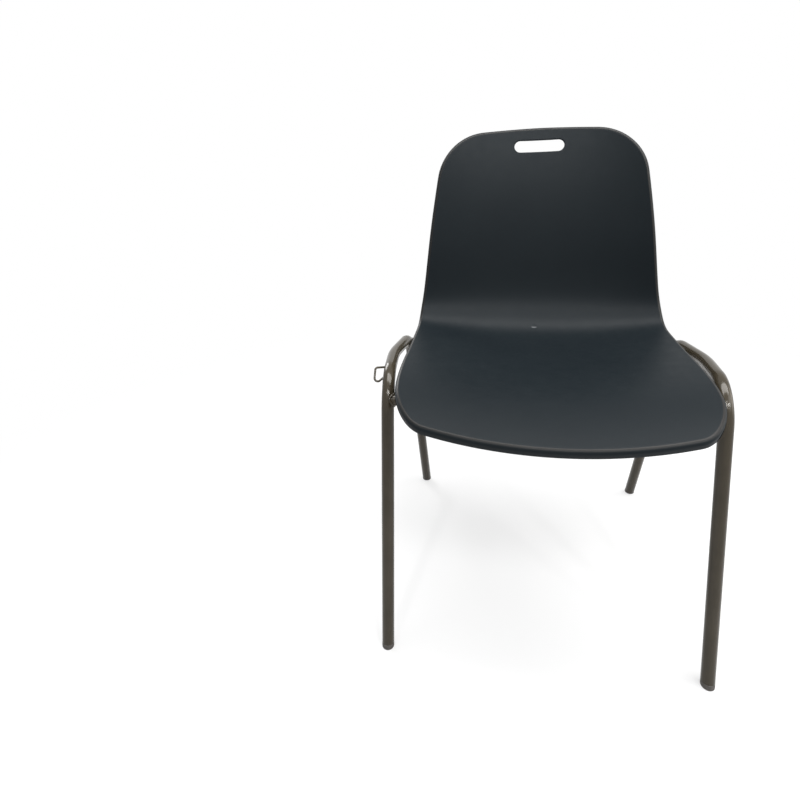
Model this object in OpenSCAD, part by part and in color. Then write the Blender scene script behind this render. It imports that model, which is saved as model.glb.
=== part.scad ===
// Stacking and linking choir chair: one-piece moulded shell on a bent tube frame.
// Units are millimetres. +Z is up, the front of the seat faces -Y, and the origin
// is on the floor at the middle of the space that the chair takes up.

/* [Shell] */
// Height of the seat's front edge above the floor, at its middle
seat_front_h = 430; // [390:5:470]
// Width of the shell where it is widest
shell_w = 450; // [410:5:490]
// Length of the shell from its front edge to its top edge, along the middle
shell_len = 796; // [740:4:850]
// Thickness of the moulded wall
shell_t = 4; // [3:0.5:5]
// Radius of the rolled edge
edge_roll_r = 6; // [5:0.5:8]
// Thickness of the turned-down flange
flange_t = 4; // [3:0.5:4.5]
// Depth of the flange at the waist, where it is deepest
flange_depth = 20; // [16:1:26]
// How far the sides of the backrest come forward of its middle
dish_depth = 37.5; // [25:0.5:45]

/* [Shell outline] */
// Length of the front corner curve, measured along the shell
front_corner_len = 66; // [50:1:80]
// Width of the front corner curve
front_corner_w = 38; // [30:1:60]
// How far the front edge bows forward at its middle
front_bow = 40; // [20:1:50]
// Length of the top corner curve, measured along the shell
top_corner_len = 69; // [50:1:85]
// Width of the top corner curve
top_corner_w = 71; // [50:1:85]
// How far the top edge rises at its middle
top_crown = 22; // [10:1:30]

/* [Hand hold] */
// Width of the hand-hold slot
slot_w = 92; // [80:1:120]
// Height of the hand-hold slot
slot_h = 22; // [18:1:30]
// Distance from the top edge to the middle of the slot, along the shell
slot_drop = 36; // [34:1:60]

/* [Frame] */
// Outside diameter of the side tubes
tube_d = 20; // [18:0.5:22]
// Outside diameter of the cross tubes
cross_tube_d = 18; // [15:0.5:18]
// Wall of all the frame tubes
tube_wall = 1.5; // [1:0.25:2]
// Gap between the widest part of the shell and the front of the side tube
side_gap = 4; // [3:0.5:12]
// How much further out the rear bend stands than the front bend
rear_set_out = 6; // [0:1:10]
// How much further out the front foot stands than the front bend
front_splay = 7.5; // [0:0.5:20]
// How much further in the rear foot stands than the rear bend
rear_tuck = 4; // [0:1:10]
// Forward lean of the front legs, in degrees
front_lean = 9.55; // [5:0.05:13]
// Backward lean of the rear legs, in degrees
rear_lean = 19.5; // [12:0.1:23]
// Bend radius at the top of the front leg, to the tube's centre line
front_bend_r = 62; // [55:1:75]
// Bend radius at the top of the rear leg, to the tube's centre line
rear_bend_r = 58; // [50:1:65]
// Height of the front corner of the tube's centre line above the seat there
front_rise = 1.5; // [0:0.5:8]
// Depth of the rear corner of the tube's centre line below the seat there
rear_drop = 10; // [4:1:16]
// How far the middle of each rail stands out from a straight rail
rail_bow = 10.5; // [4:0.5:14]
// How far the middle of each rail stands above a straight rail
rail_lift = 3; // [0:0.5:6]
// Bend radius in the middle of each rail, to the tube's centre line
rail_bend_r = 260; // [180:10:320]

/* [Feet] */
// Height at which each leg tube ends, measured at its centre line
foot_h = 8; // [6:0.5:12]
// Length of the foot's plug inside the tube
foot_plug_len = 18; // [12:1:30]
// Clearance all round the foot's plug
foot_clear = 0.1; // [0.05:0.05:0.3]
// Chamfer round the foot's underside
foot_chamfer = 1.5; // [0.5:0.5:2.5]

/* [Fixings] */
// Width of each mounting plate, along the cross tube
plate_w = 46; // [40:1:60]
// Depth of each mounting plate, across the cross tube
plate_depth = 30; // [27:1:36]
// Thickness of each mounting plate
plate_t = 3; // [2:0.5:4]
// Distance from a mounting plate's inner end to the screw
screw_inset = 15; // [12:1:20]
// Distance from the cross tube's centre line to the screw
screw_offset = 17; // [16:0.5:20]
// Nominal diameter of the shell screws
screw_d = 6; // [5:0.5:6]
// Length of the screws under the head
screw_len = 14; // [12:1:18]
// Diameter of the screw heads
head_d = 12; // [10:0.5:12]
// Height of the screw heads
head_h = 4; // [3:0.5:5]
// Diameter of the washers
washer_d = 13; // [12:0.5:14]
// Thickness of the washers
washer_t = 1.2; // [0.8:0.1:2]
// Outside diameter of the threaded inserts
insert_d = 9; // [8:0.5:10]
// Length of the threaded inserts
insert_len = 10; // [8:1:12]
// Diameter of the moulded bosses under the seat
boss_d = 20; // [16:1:24]

/* [Link loop] */
// Diameter of the link wire
link_d = 3.5; // [3:0.5:5]
// How far the link loop stands out from the side tube
link_out = 14; // [12:1:20]
// How far the loop's lower corner lies below the wire's lower end
link_dip = 14; // [10:1:18]
// How far the loop's lower corner lies forward of the wire's lower end
link_reach = 20; // [16:1:24]
// Height of the loop's outer side
link_rise = 23; // [18:1:26]
// How far the loop's outer side leans back
link_lean = 17; // [12:1:20]
// Bend radius of the link wire
link_bend_r = 5; // [4:0.5:6]

/* [Hidden] */

// Shares of the shell's length at which its shape is set, from the front edge to the top edge
station_shares = [0, 0.07, 0.18, 0.36, 0.46, 0.54, 0.62, 0.78, 1];
// Slope of the middle line at each station, in degrees above level
station_slopes = [19, 12.5, 0.5, -3.5, 1, 47, 78, 79, 69];
// Width of the shell at each station, as shares of shell_w
width_shares = [0.947, 0.96, 0.996, 1, 1, 0.991, 0.962, 0.893, 0.773];
// Rise of the edges over the middle at each station, as shares of dish_depth
dish_shares = [-0.08, 0.08, 0.27, 0.45, 0.63, 0.76, 0.85, 0.93, 1];
// Depth of the flange at each station, as shares of flange_depth
flange_shares = [0.65, 0.65, 0.55, 0.6, 0.8, 1, 0.9, 0.6, 0.5];
// Powers that set how square the corners are and how flat the middle of the dish is
front_corner_power = 2.1;
top_corner_power = 2.2;
dish_power = 2.25;
// Stations at which the width that the corners are cut from is read
front_width_share = 0.06;
top_width_share = 0.92;

// Places along the shell of the two corners of each side tube
front_knee_share = 0.179;
rear_knee_share = 0.488;
// Places along each bend at which a cross tube is welded on
front_cross_share = 0.24;
rear_cross_share = 0.6;
// Places along the front bend of the two ends of the link loop
link_low_share = 0.78;
link_high_share = 0.99;

// Numbers of steps along and across the shell, round the roll, and along the profile sum
along_steps = 40;
across_half_steps = 11;
roll_steps = 3;
profile_steps = 160;
round_fn = 64;
boss_fn = 32;
boss_steps = 8;

// Clearances and overruns
fit_gap = 0.05;
bolt_gap = 0.3;
overrun = 1;
weld_gap = 0.5;
bend_fullness = 0.05;
bend_lap = 0.3;
recess_depth = 2;
recess_w = 1.2;
recess_len = 6;
head_round = 1;

tube_r = tube_d / 2;
cross_tube_r = cross_tube_d / 2;
shell_colour = [0.16, 0.17, 0.18];
frame_colour = [0.33, 0.32, 0.30];
foot_colour = [0.12, 0.11, 0.10];
zinc_colour = [0.72, 0.73, 0.75];
brass_colour = [0.78, 0.62, 0.30];

// Smooth curve through a table of values at given stations
function span_of(x, xs, i = 0) = (i >= len(xs) - 2 || x < xs[i + 1]) ? i : span_of(x, xs, i + 1);
function rate_at(xs, ys, i) =
    let (a = max(i - 1, 0), b = min(i + 1, len(xs) - 1))
    (ys[b] - ys[a]) / (xs[b] - xs[a]);
function smooth(x, xs, ys) =
    let (i = span_of(x, xs), h = xs[i + 1] - xs[i], t = (x - xs[i]) / h)
    (2 * t ^ 3 - 3 * t ^ 2 + 1) * ys[i] + (t ^ 3 - 2 * t ^ 2 + t) * h * rate_at(xs, ys, i)
    + (3 * t ^ 2 - 2 * t ^ 3) * ys[i + 1] + (t ^ 3 - t ^ 2) * h * rate_at(xs, ys, i + 1);

// Middle line of the shell, as points [y, z] summed from its slope
function slope_of(share) = smooth(share, station_shares, station_slopes);
profile_step = shell_len / profile_steps;
profile_turns = [for (i = [0 : profile_steps - 1])
    let (a = slope_of((i + 0.5) / profile_steps)) [cos(a), sin(a)] * profile_step];
profile_points = [for (i = 0, p = [0, seat_front_h]; i <= profile_steps;
                       p = p + (i < profile_steps ? profile_turns[i] : [0, 0]), i = i + 1) p];
function profile_at(share) =
    let (q = share * profile_steps, i = min(floor(q), profile_steps - 1))
    profile_points[i] + (profile_points[i + 1] - profile_points[i]) * (q - i);
// Direction of the sitter's side of the shell, square to the middle line
function up_of(share) = let (a = slope_of(share)) [0, -sin(a), cos(a)];

// A point of the sitter's side: across runs from -1 to 1, share along the shell
function inner_half_w(share) = smooth(share, station_shares, width_shares) * shell_w / 2 - edge_roll_r;
function dish_at(share) = smooth(share, station_shares, dish_shares) * dish_depth;
function surface_point(across, share) =
    let (p = profile_at(share), rise = dish_at(share) * pow(abs(across), dish_power))
    [across * inner_half_w(share), p[0], p[1]] + up_of(share) * rise;

// Where the shell starts and ends along its length, for each place across it
function corner_cut(across, len, w, half_w, power) =
    let (t = min(max((abs(across) * half_w - (half_w - w)) / w, 0), 1))
    len * (1 - pow(max(1 - pow(t, power), 0), 1 / power));
function start_share(across) =
    (edge_roll_r + front_bow * across ^ 2
     + corner_cut(across, front_corner_len, front_corner_w, inner_half_w(front_width_share),
                  front_corner_power)) / shell_len;
function end_share(across) =
    1 - (edge_roll_r + top_crown * across ^ 2
         + corner_cut(across, top_corner_len, top_corner_w, inner_half_w(top_width_share),
                      top_corner_power)) / shell_len;

// Grid of the sitter's side, closer together towards the edges
across_steps = 2 * across_half_steps;
function across_of(j) = sin(90 * (j / across_half_steps - 1));
function along_of(i) = let (t = i / along_steps) (t + (1 - cos(180 * t)) / 2) / 2;
function share_at(i, j) =
    let (a = across_of(j), t = along_of(i)) start_share(a) * (1 - t) + end_share(a) * t;
function grid_point(i, j) = surface_point(across_of(j), share_at(i, j));

// Places [i, j] round the edge of the grid
edge_places = concat([for (j = [0 : across_steps]) [0, j]],
                     [for (i = [1 : along_steps]) [i, across_steps]],
                     [for (j = [across_steps - 1 : -1 : 0]) [along_steps, j]],
                     [for (i = [along_steps - 1 : -1 : 1]) [i, 0]]);
edge_count = len(edge_places);
edge_points = [for (e = edge_places) grid_point(e[0], e[1])];
edge_ups = [for (e = edge_places) up_of(share_at(e[0], e[1]))];
edge_depths = [for (e = edge_places)
    smooth(share_at(e[0], e[1]), station_shares, flange_shares) * flange_depth];
function unit(v) = v / norm(v);
edge_outs = [for (k = [0 : edge_count - 1])
    let (along = edge_points[(k + 1) % edge_count] - edge_points[(k + edge_count - 1) % edge_count])
    unit(cross(unit(along), edge_ups[k]))];
// One ring round the edge, moved out and down from the grid's own edge
function edge_ring(out, down) = [for (k = [0 : edge_count - 1])
    edge_points[k] + edge_outs[k] * out - edge_ups[k] * down];
function flange_ring(out) = [for (k = [0 : edge_count - 1])
    edge_points[k] + edge_outs[k] * out - edge_ups[k] * edge_depths[k]];

// Underside of the shell straight below a place, found by stepping along the shell
function share_over(x, y, share, steps) =
    steps == 0 ? share
    : let (across = min(abs(x) / inner_half_w(share), 1), p = surface_point(across, share))
      share_over(x, y, share + (y - p[1]) / cos(slope_of(share)) / shell_len, steps - 1);
function underside_z(x, y) =
    let (share = share_over(x, y, y / shell_len, boss_steps),
         p = surface_point(abs(x) / inner_half_w(share), share))
    p[2] - shell_t / cos(slope_of(share));

// Corners and ends of the side tube's centre line, on the right-hand side
front_knee_x = shell_w / 2 + side_gap + tube_r;
rear_knee_x = front_knee_x + rear_set_out;
front_seat = profile_at(front_knee_share);
rear_seat = profile_at(rear_knee_share);
front_knee = [front_knee_x, front_seat[0], front_seat[1] + front_rise];
rear_knee = [rear_knee_x, rear_seat[0], rear_seat[1] - rear_drop];
front_toe = [front_knee_x + front_splay, front_knee[1] - front_knee[2] * tan(front_lean), 0];
rear_toe = [rear_knee_x - rear_tuck, rear_knee[1] + rear_knee[2] * tan(rear_lean), 0];
front_leg_dir = unit(front_toe - front_knee);
rear_leg_dir = unit(rear_toe - rear_knee);
function leg_end(toe, dir) = toe - dir * foot_h / abs(dir[2]);
front_end = leg_end(front_toe, front_leg_dir);
rear_end = leg_end(rear_toe, rear_leg_dir);
rail_middle = (front_knee + rear_knee) / 2 + [rail_bow, 0, rail_lift];
side_path = [front_end, front_knee, rail_middle, rear_knee, rear_end];
side_radii = [front_bend_r, rail_bend_r, rear_bend_r];

// A bend of the side tube: its centre, its first direction, its axis and its sweep
function bend_of(a, b, c, r) =
    let (u = unit(a - b), w = unit(c - b), corner = acos(u * w), reach = r / tan(corner / 2),
         centre = b + unit(u + w) * r / sin(corner / 2))
    [centre, unit(b + u * reach - centre), unit(cross(w, u)), 180 - corner];
front_bend = bend_of(front_end, front_knee, rail_middle, front_bend_r);
rear_bend = bend_of(rail_middle, rear_knee, rear_end, rear_bend_r);
function bend_point(bend, r, share) =
    let (a = bend[3] * share)
    bend[0] + bend[1] * r * cos(a) + cross(bend[2], bend[1]) * r * sin(a);
front_cross = bend_point(front_bend, front_bend_r, front_cross_share);
rear_cross = bend_point(rear_bend, rear_bend_r, rear_cross_share);

// Screw places on the right-hand side, and the height of the plates' undersides
function plate_inner_x(at) = at[0] - tube_r - weld_gap - plate_w;
front_screw = [plate_inner_x(front_cross) + screw_inset, front_cross[1] + screw_offset];
rear_screw = [plate_inner_x(rear_cross) + screw_inset, rear_cross[1] - screw_offset];
front_plate_z = front_cross[2] + cross_tube_r;
rear_plate_z = rear_cross[2] + cross_tube_r;
screw_places = [for (s = [-1, 1]) each [[s * front_screw[0], front_screw[1], front_plate_z],
                                        [s * rear_screw[0], rear_screw[1], rear_plate_z]]];

// The origin is the middle of the space taken up: front edge to rear feet
front_limit = min([for (p = edge_ring(edge_roll_r, edge_roll_r)) p[1]]);
rear_limit = rear_toe[1] + tube_r / cos(rear_lean);
to_origin = [0, -(front_limit + rear_limit) / 2, 0];

// Turns and moves a shape whose own axes are given
module place_axes(x, y, z, at) {
    multmatrix([[x[0], y[0], z[0], at[0]], [x[1], y[1], z[1], at[1]], [x[2], y[2], z[2], at[2]],
                [0, 0, 0, 1]])
        children();
}

// Turns and moves a shape so that its +Z runs along a direction
module aim(dir, at) {
    side = unit(cross(abs(dir[2]) < 0.9 ? [0, 0, 1] : [1, 0, 0], dir));
    place_axes(side, cross(dir, side), dir, at) children();
}

// Straight length of tube or wire along +Z, hollow where the bore's radius is above zero
module straight(length, r, bore_r = 0) {
    difference() {
        cylinder(h = length, r = r, $fn = round_fn);
        if (bore_r > 0)
            translate([0, 0, -overrun])
                cylinder(h = length + 2 * overrun, r = bore_r, $fn = round_fn);
    }
}

module rod(from, to, r, bore_r = 0) {
    aim(unit(to - from), from) straight(norm(to - from), r, bore_r);
}

// A line of straights and bends: each is laid in the frame in which the last one ended.
// A bend is a hair fuller than the straights, which run a little way into it.
module laid_run(lengths, turns, twists, radii, r, bore_r, k = 0) {
    before = k == 0 ? 0 : bend_lap;
    after = k == len(turns) ? 0 : bend_lap;
    translate([0, 0, -before]) straight(before + lengths[k] + after, r, bore_r);
    if (k < len(turns))
        translate([0, 0, lengths[k]]) rotate([0, 0, twists[k]]) translate([radii[k], 0, 0]) {
            rotate([90, 0, 180]) rotate_extrude(angle = turns[k], $fn = round_fn)
                translate([radii[k], 0]) difference() {
                    circle(r = r + bend_fullness);
                    if (bore_r > 0) circle(r = bore_r - bend_fullness);
                }
            rotate([0, turns[k], 0]) translate([-radii[k], 0, 0])
                laid_run(lengths, turns, twists, radii, r, bore_r, k + 1);
        }
}

// The same line given by its corner points
module bent_rod(points, radii, r, bore_r = 0) {
    last = len(points) - 1;
    dirs = [for (k = [0 : last - 1]) unit(points[k + 1] - points[k])];
    sides = [for (k = [0 : last - 2]) unit(dirs[k + 1] - dirs[k] * (dirs[k + 1] * dirs[k]))];
    turns = [for (k = [0 : last - 2]) acos(dirs[k] * dirs[k + 1])];
    reaches = [for (k = [0 : last]) k == 0 || k == last ? 0 : radii[k - 1] * tan(turns[k - 1] / 2)];
    lengths = [for (k = [0 : last - 1]) norm(points[k + 1] - points[k]) - reaches[k] - reaches[k + 1]];
    twists = [for (k = [0 : last - 2]) k == 0 ? 0
        : let (y = cross(dirs[k - 1], sides[k - 1]),
               x = sides[k - 1] * cos(turns[k - 1]) - dirs[k - 1] * sin(turns[k - 1]))
          atan2(sides[k] * y, sides[k] * x)];
    place_axes(sides[0], cross(dirs[0], sides[0]), dirs[0], points[0])
        laid_run(lengths, turns, twists, radii, r, bore_r);
}

module on_side(side) {
    translate(to_origin) mirror([side < 0 ? 1 : 0, 0, 0]) children();
}

module side_tube(side) {
    color(frame_colour) on_side(side)
        bent_rod(side_path, side_radii, tube_r, tube_r - tube_wall);
}

module cross_tube(at) {
    color(frame_colour) translate(to_origin) difference() {
        rod([-at[0], at[1], at[2]], at, cross_tube_r, cross_tube_r - tube_wall);
        for (m = [0, 1]) mirror([m, 0, 0]) bent_rod(side_path, side_radii, tube_r);
    }
}

// Flat plate on top of a cross tube: its rear part carries the screw
module mounting_plate(side, screw, at, plate_z) {
    far_y = at[1] + sign(screw[1] - at[1]) * plate_depth;
    color(frame_colour) on_side(side) difference() {
        translate([plate_inner_x(at), min(at[1], far_y), plate_z])
            cube([plate_w, plate_depth, plate_t]);
        translate([screw[0], screw[1], plate_z - overrun])
            cylinder(h = plate_t + 2 * overrun, d = screw_d + 2 * bolt_gap, $fn = round_fn);
    }
}

// Moulded boss: its foot stands on the plate and its top follows the shell
module boss(place) {
    r = boss_d / 2;
    foot_z = place[2] + plate_t;
    ring = [for (k = [0 : boss_fn - 1])
        let (a = 360 * k / boss_fn) [place[0] + r * cos(a), place[1] + r * sin(a)]];
    low = [for (p = ring) [p[0], p[1], foot_z]];
    high = [for (p = ring) [p[0], p[1], underside_z(p[0], p[1]) + shell_t / 2]];
    top = [place[0], place[1], underside_z(place[0], place[1]) + shell_t / 2];
    polyhedron(points = concat(low, high, [[place[0], place[1], foot_z], top]),
               faces = [for (k = [0 : boss_fn - 1])
                   let (n = (k + 1) % boss_fn)
                   each [[k, k + boss_fn, n + boss_fn], [k, n + boss_fn, n],
                         [k, n, 2 * boss_fn], [k + boss_fn, 2 * boss_fn + 1, n + boss_fn]]]);
}

module shell_skin() {
    columns = across_steps + 1;
    rows = along_steps + 1;
    count = rows * columns;
    upper = [for (i = [0 : along_steps]) each [for (j = [0 : across_steps]) grid_point(i, j)]];
    lower = [for (i = [0 : along_steps]) each [for (j = [0 : across_steps])
        grid_point(i, j) - up_of(share_at(i, j)) * shell_t]];
    rings = concat([for (s = [1 : roll_steps])
                       let (a = 90 * s / roll_steps)
                       edge_ring(edge_roll_r * sin(a), edge_roll_r * (1 - cos(a)))],
                   [flange_ring(edge_roll_r), flange_ring(edge_roll_r - flange_t)]);
    ring_start = 2 * count;
    grid_index = [for (e = edge_places) e[0] * columns + e[1]];
    // Point number of each place on each ring, from the upper edge round to the lower edge
    ladder = concat([grid_index],
                    [for (s = [0 : len(rings) - 1])
                        [for (k = [0 : edge_count - 1]) ring_start + s * edge_count + k]],
                    [[for (g = grid_index) count + g]]);
    cells = [for (i = [0 : along_steps - 1]) each [for (j = [0 : across_steps - 1])
        i * columns + j]];
    polyhedron(points = concat(upper, lower, [for (r = rings) each r]),
        faces = concat(
            [for (c = cells) each [[c, c + columns, c + 1], [c + 1, c + columns, c + columns + 1]]],
            [for (c = cells) let (d = c + count)
                each [[d, d + 1, d + columns], [d + 1, d + columns + 1, d + columns]]],
            [for (s = [0 : len(ladder) - 2]) each [for (k = [0 : edge_count - 1])
                let (n = (k + 1) % edge_count, a = ladder[s], b = ladder[s + 1])
                each [[a[k], a[n], b[n]], [a[k], b[n], b[k]]]]]));
}

module hand_hold_cutter() {
    share = 1 - slot_drop / shell_len;
    up = up_of(share);
    middle = surface_point(0, share);
    // The slot's own long side runs across the chair
    place_axes([1, 0, 0], cross(up, [1, 0, 0]), up, middle - up * (shell_t + dish_depth / 2))
        linear_extrude(height = shell_t + dish_depth)
            union() {
                square([slot_w - slot_h, slot_h], center = true);
                for (s = [-1, 1])
                    translate([s * (slot_w - slot_h) / 2, 0]) circle(d = slot_h, $fn = round_fn);
            }
}

module seat_shell() {
    color(shell_colour) translate(to_origin) difference() {
        union() {
            shell_skin();
            for (p = screw_places) boss(p);
        }
        hand_hold_cutter();
        // Seat of each insert, and room for the screw's tip past it
        for (p = screw_places) translate([p[0], p[1], p[2] + plate_t - overrun]) {
            cylinder(h = insert_len + overrun, d = insert_d, $fn = round_fn);
            cylinder(h = screw_len + overrun, d = screw_d + 2 * bolt_gap, $fn = round_fn);
        }
    }
}

module shell_screws() {
    color(zinc_colour) translate(to_origin) for (p = screw_places)
        translate([p[0], p[1], p[2] - washer_t]) {
            cylinder(h = screw_len, d = screw_d, $fn = round_fn);
            difference() {
                union() {
                    translate([0, 0, head_round - head_h])
                        cylinder(h = head_h - head_round, d = head_d, $fn = round_fn);
                    translate([0, 0, -head_h])
                        cylinder(h = head_round, d1 = head_d - 2 * head_round, d2 = head_d,
                                 $fn = round_fn);
                }
                for (turn = [0, 90]) rotate([0, 0, turn])
                    translate([-recess_len / 2, -recess_w / 2, -head_h - overrun])
                        cube([recess_len, recess_w, recess_depth + overrun]);
            }
        }
}

module screw_washers() {
    color(zinc_colour) translate(to_origin) for (p = screw_places)
        translate([p[0], p[1], p[2] - washer_t]) difference() {
            cylinder(h = washer_t, d = washer_d, $fn = round_fn);
            translate([0, 0, -overrun])
                cylinder(h = washer_t + 2 * overrun, d = screw_d + 2 * bolt_gap, $fn = round_fn);
        }
}

module threaded_inserts() {
    color(brass_colour) translate(to_origin) for (p = screw_places)
        translate([p[0], p[1], p[2] + plate_t]) difference() {
            cylinder(h = insert_len, d = insert_d, $fn = round_fn);
            translate([0, 0, -overrun])
                cylinder(h = insert_len + 2 * overrun, d = screw_d + 2 * fit_gap, $fn = round_fn);
        }
}

// Plastic foot: a head of the tube's own diameter, cut level with the floor, and a plug
module foot(side, toe, end, dir) {
    plug_r = tube_r - tube_wall - foot_clear;
    floor_r = tube_r - foot_chamfer / 2;
    cone_h = foot_h + tube_r;
    color(foot_colour) on_side(side) {
        rod(end - dir * foot_plug_len, end + dir * foot_chamfer, plug_r);
        intersection() {
            rod(end, toe + dir * tube_r, tube_r);
            translate(toe) cylinder(h = cone_h, r1 = floor_r, r2 = floor_r + cone_h, $fn = round_fn);
        }
    }
}

// Bent wire loop welded to the outside of the left side tube at its front bend
module link_loop() {
    low_end = bend_point(front_bend, front_bend_r, link_low_share);
    high_end = bend_point(front_bend, front_bend_r, link_high_share);
    outer_x = low_end[0] + tube_r + link_out - link_d / 2;
    low_corner = [outer_x, low_end[1] - link_reach, low_end[2] - link_dip];
    high_corner = low_corner + [0, link_lean, link_rise];
    color(frame_colour) on_side(-1) difference() {
        bent_rod([low_end, low_corner, high_corner, high_end], [link_bend_r, link_bend_r],
                 link_d / 2);
        bent_rod(side_path, side_radii, tube_r);
    }
}

seat_shell();
side_tube(-1);  // left_side_tube
side_tube(1);  // right_side_tube
cross_tube(front_cross);  // front_cross_tube
cross_tube(rear_cross);  // rear_cross_tube
mounting_plate(-1, front_screw, front_cross, front_plate_z);  // front_left_plate
mounting_plate(1, front_screw, front_cross, front_plate_z);  // front_right_plate
mounting_plate(-1, rear_screw, rear_cross, rear_plate_z);  // rear_left_plate
mounting_plate(1, rear_screw, rear_cross, rear_plate_z);  // rear_right_plate
shell_screws();
screw_washers();
threaded_inserts();
foot(-1, front_toe, front_end, front_leg_dir);  // front_left_foot
foot(1, front_toe, front_end, front_leg_dir);  // front_right_foot
foot(-1, rear_toe, rear_end, rear_leg_dir);  // rear_left_foot
foot(1, rear_toe, rear_end, rear_leg_dir);  // rear_right_foot
link_loop();
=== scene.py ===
# Choir chair: the looks of its moulded shell, bent tube frame, feet and link loop.
import math

import bmesh
import bpy
import numpy as np
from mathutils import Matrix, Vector


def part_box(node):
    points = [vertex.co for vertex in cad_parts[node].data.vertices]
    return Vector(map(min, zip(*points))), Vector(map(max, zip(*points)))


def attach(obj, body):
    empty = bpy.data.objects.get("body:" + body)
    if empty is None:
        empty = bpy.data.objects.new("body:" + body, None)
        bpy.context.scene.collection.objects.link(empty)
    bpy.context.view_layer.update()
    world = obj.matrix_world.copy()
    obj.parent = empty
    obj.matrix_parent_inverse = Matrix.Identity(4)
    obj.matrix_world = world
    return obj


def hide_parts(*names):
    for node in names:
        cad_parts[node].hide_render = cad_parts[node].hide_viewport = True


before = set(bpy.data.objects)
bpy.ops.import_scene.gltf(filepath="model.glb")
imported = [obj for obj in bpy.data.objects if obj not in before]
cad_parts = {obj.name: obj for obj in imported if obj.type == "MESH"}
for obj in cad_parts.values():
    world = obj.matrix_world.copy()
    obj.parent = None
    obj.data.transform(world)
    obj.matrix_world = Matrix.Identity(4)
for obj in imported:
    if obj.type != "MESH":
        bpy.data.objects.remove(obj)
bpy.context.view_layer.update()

# Sizes are in millimetres and angles in degrees, as the frame was made; meshes are in metres
MM = 0.001

# Shell
SEAT_FRONT_H = 430
SHELL_W = 450
SHELL_LEN = 796
SHELL_T = 4
EDGE_ROLL_R = 6
FLANGE_T = 4
FLANGE_DEPTH = 20
FLANGE_ROUND = 1.5
FLANGE_FILLET = 2
DISH_DEPTH = 37.5
FRONT_CORNER_LEN = 66
FRONT_CORNER_W = 38
FRONT_BOW = 40
TOP_CORNER_LEN = 69
TOP_CORNER_W = 71
TOP_CROWN = 22

# Shape of the shell along its length, from the front edge to the top edge
STATION_SHARES = [0, 0.07, 0.18, 0.36, 0.46, 0.54, 0.62, 0.78, 1]
STATION_SLOPES = [19, 12.5, 0.5, -3.5, 1, 47, 78, 79, 69]
WIDTH_SHARES = [0.947, 0.96, 0.996, 1, 1, 0.991, 0.962, 0.893, 0.773]
DISH_SHARES = [-0.08, 0.08, 0.27, 0.45, 0.63, 0.76, 0.85, 0.93, 1]
FLANGE_SHARES = [0.65, 0.65, 0.55, 0.6, 0.8, 1, 0.9, 0.6, 0.5]
FRONT_CORNER_POWER = 2.1
TOP_CORNER_POWER = 2.2
DISH_POWER = 2.25
FRONT_WIDTH_SHARE = 0.06
TOP_WIDTH_SHARE = 0.92

# Hand-hold slot, and the mark of the moulding gate, with a painted highlight on its front slope
SLOT_W = 92
SLOT_H = 22
SLOT_DROP = 36
SLOT_LIP_R = 1.6
GATE_X = -3.6
GATE_Y = 130
GATE_R = 6.5
GATE_DEPTH = 0.9
GATE_SLOPE_SHARE = 0.9
GATE_HIGHLIGHT_W = 12
GATE_HIGHLIGHT_LEN = 4.4
GATE_HIGHLIGHT_AHEAD = 2.2

# Frame
TUBE_D = 20
CROSS_TUBE_D = 18
TUBE_WALL = 1.5
TUBE_EDGE = 0.4
BORE_DEPTH = 3
SIDE_GAP = 4
REAR_SET_OUT = 6
FRONT_SPLAY = 7.5
REAR_TUCK = 4
FRONT_LEAN = 9.55
REAR_LEAN = 19.5
FRONT_BEND_R = 62
REAR_BEND_R = 58
FRONT_RISE = 1.5
REAR_DROP = 10
RAIL_BOW = 10.5
RAIL_LIFT = 3
RAIL_BEND_R = 260
FRONT_KNEE_SHARE = 0.179
REAR_KNEE_SHARE = 0.488
FRONT_CROSS_SHARE = 0.24
REAR_CROSS_SHARE = 0.6
WELD_R = 2.2
WELD_SINK = 1
WELD_RIPPLE_SHARE = 0.14
WELD_RIPPLES = 17

# Feet
FOOT_H = 8
FOOT_ROUND = 2.2
FOOT_TOP_ROUND = 0.5

# Fixings under the shell
PLATE_T = 3
BOSS_D = 20
BOSS_FILLET = 2.5
BOSS_SINK = 0.2
INSERT_D = 9
INSERT_LEN = 10
SCREW_OFFSET = 17
PLATE_W = 46
SCREW_INSET = 15
WELD_GAP = 0.5

# Link loop
LINK_D = 3.5
LINK_OUT = 14
LINK_DIP = 14
LINK_REACH = 20
LINK_RISE = 23
LINK_LEAN = 17
LINK_BEND_R = 5
LINK_LOW_SHARE = 0.78
LINK_HIGH_SHARE = 0.99
LINK_WELD_R = LINK_D / 3

# Mesh fineness: numbers of steps and sides, and the length of a step along a bend,
# in degrees, and along a straight line, in millimetres
ALONG_STEPS = 160
HALF_STEPS = 48
PROFILE_STEPS = 3200
ROLL_STEPS = 8
ROUND_STEPS = 4
FOOT_STEPS = 5
PATCH_STEPS = 4
CROSS_STEPS = 15
SOLVE_STEPS = 12
TUBE_SIDES = 48
WIRE_SIDES = 24
BEAD_SIDES = 12
BEND_STEP = 3
STRAIGHT_STEP = 30

# Angle above which an edge is shaded sharp, and the sine of the angle under which two
# directions count as parallel
SHARP_ANGLE = 40
NEARLY_PARALLEL = 0.1

# Grid that is left out round the slot and the gate mark, for their own bands of faces
SLOT_MARGIN_W = 12
SLOT_MARGIN_H = 9
GATE_BLOCK_R = 18

# Middle range of a noise, in which nearly all of its values lie
NOISE_LOW = 0.3
NOISE_HIGH = 0.7

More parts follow.
